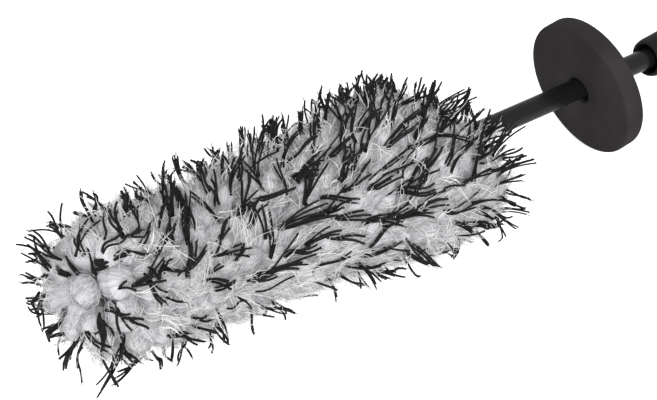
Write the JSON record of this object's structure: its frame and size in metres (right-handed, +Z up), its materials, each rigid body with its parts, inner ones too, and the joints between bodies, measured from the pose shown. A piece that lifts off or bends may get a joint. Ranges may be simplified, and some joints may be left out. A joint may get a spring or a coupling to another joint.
{
  "type": "wheel brush",
  "caption": "Long-handled wheel brush with a soft tufted pile head on a twisted-wire stem, a sliding foam splash guard and a rubber grip.",
  "frame": {"origin": "on the surface that the brush lies on, under the middle of its length and its stem", "axes": "+X along the stem from the nose of the head to the end of the handle, +Z up"},
  "size_m": [0.437, 0.082, 0.082],
  "materials": {
    "white_pile": "matte",
    "black_sleeve": "satin",
    "charcoal_foam": "matte",
    "black_rubber": "matte",
    "black_plastic": "satin",
    "bright_wire": "satin"
  },
  "bodies": {
    "brush": {"pile": "white_pile", "nose_tuft": "white_pile", "tip_cap": "black_plastic", "core_wire_a": "bright_wire", "core_wire_b": "bright_wire", "stem_sleeve": "black_sleeve", "handle_core": "black_plastic", "wire_ferrule": "bright_wire", "grip": "black_rubber", "end_cap": "black_plastic"},
    "guard": {"splash_guard": "charcoal_foam"}
  },
  "joints": [
    {"name": "guard_slide", "type": "slide", "parent": "brush", "child": "guard", "axis": [1, 0, 0], "range_m": [-0.048, 0.034]}
  ]
}
